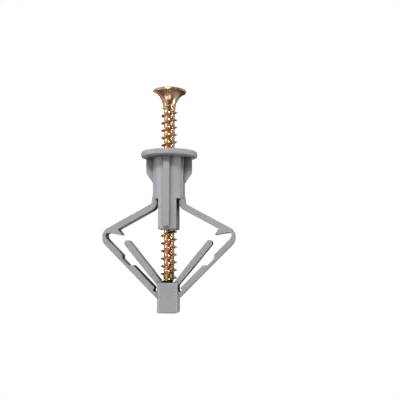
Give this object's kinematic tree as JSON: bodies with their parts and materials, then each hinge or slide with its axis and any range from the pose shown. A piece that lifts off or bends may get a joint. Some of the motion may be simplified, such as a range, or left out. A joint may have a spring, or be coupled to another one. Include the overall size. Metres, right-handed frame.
{
  "type": "folding-wing hollow-wall anchor with screw",
  "caption": "Grey plastic hollow-wall anchor: flanged ribbed sleeve, two folding wings with locking barbs, struts on a tail block, and a long countersunk screw.",
  "frame": {"origin": "on the screw axis in the face of the wall, directly under the flange", "axes": "+Z out of the wall along the screw axis towards the screw head; wings open along +X and -X"},
  "size_m": [0.0316, 0.0134, 0.0533],
  "materials": {
    "moulded_plastic": "satin moulded, cool mid grey",
    "zinc_steel": "yellow passivated zinc plating with a faint pink and green sheen"
  },
  "bodies": {
    "sleeve": {"sleeve": "moulded_plastic", "root_hinge_left": "moulded_plastic", "root_hinge_right": "moulded_plastic"},
    "upper_leg_left": {"upper_leg_left": "moulded_plastic", "elbow_hinge_left": "moulded_plastic"},
    "upper_leg_right": {"upper_leg_right": "moulded_plastic", "elbow_hinge_right": "moulded_plastic"},
    "lower_leg_left": {"lower_leg_left": "moulded_plastic", "tail_hinge_left": "moulded_plastic"},
    "lower_leg_right": {"lower_leg_right": "moulded_plastic", "tail_hinge_right": "moulded_plastic"},
    "tail_block": {"tail_block": "moulded_plastic", "strut_hinge_left": "moulded_plastic", "strut_hinge_right": "moulded_plastic"},
    "strut_left": {"strut_left": "moulded_plastic"},
    "strut_right": {"strut_right": "moulded_plastic"},
    "screw": {"screw": "zinc_steel"}
  },
  "joints": [
    {"name": "wing_fold", "type": "hinge", "parent": "sleeve", "child": "upper_leg_left", "pos_m": [-0.0032, 0, -0.011], "axis": [0, 1, 0], "range_deg": [-27.5, 23.5], "stiffness_Nm_per_rad": 0.0006, "deforming": ["root_hinge_left"]},
    {"name": "elbow_left", "type": "hinge", "parent": "upper_leg_left", "child": "lower_leg_left", "pos_m": [-0.01385, 0, -0.02165], "axis": [0, 1, 0], "range_deg": [-47, 55], "deforming": ["elbow_hinge_left"]},
    {"name": "tail_fold", "type": "hinge", "parent": "lower_leg_left", "child": "tail_block", "pos_m": [-0.0032, 0, -0.0323], "axis": [0, 1, 0], "range_deg": [-27.5, 23.5], "deforming": ["tail_hinge_left"]},
    {"name": "strut_fold_left", "type": "hinge", "parent": "tail_block", "child": "strut_left", "pos_m": [-0.00235, 0, -0.0296], "axis": [0, 1, 0], "range_deg": [-23.5, 27.5], "deforming": ["strut_hinge_left"]},
    {"name": "strut_fold_right", "type": "hinge", "parent": "tail_block", "child": "strut_right", "pos_m": [0.00235, 0, -0.0296], "axis": [0, 1, 0], "range_deg": [-27.5, 23.5], "deforming": ["strut_hinge_right"]},
    {"name": "wing_fold_right", "type": "hinge", "parent": "sleeve", "child": "upper_leg_right", "pos_m": [0.0032, 0, -0.011], "axis": [0, 1, 0], "range_deg": [-23.5, 27.5], "deforming": ["root_hinge_right"]},
    {"name": "elbow_right", "type": "hinge", "parent": "upper_leg_right", "child": "lower_leg_right", "pos_m": [0.01385, 0, -0.02165], "axis": [0, 1, 0], "range_deg": [-55, 47], "deforming": ["elbow_hinge_right", "tail_hinge_right"]},
    {"name": "screw_drive", "type": "slide", "parent": "sleeve", "child": "screw", "axis": [0, 0, 1], "range_m": [-0.0135, 0.036]}
  ],
  "couplings": [
    {"joint": "elbow_left", "follows": "wing_fold", "ratio": -2},
    {"joint": "tail_fold", "follows": "wing_fold", "ratio": 1},
    {"joint": "strut_fold_left", "follows": "wing_fold", "ratio": -1},
    {"joint": "strut_fold_right", "follows": "wing_fold", "ratio": 1},
    {"joint": "wing_fold_right", "follows": "wing_fold", "ratio": -1},
    {"joint": "elbow_right", "follows": "wing_fold", "ratio": 2}
  ]
}
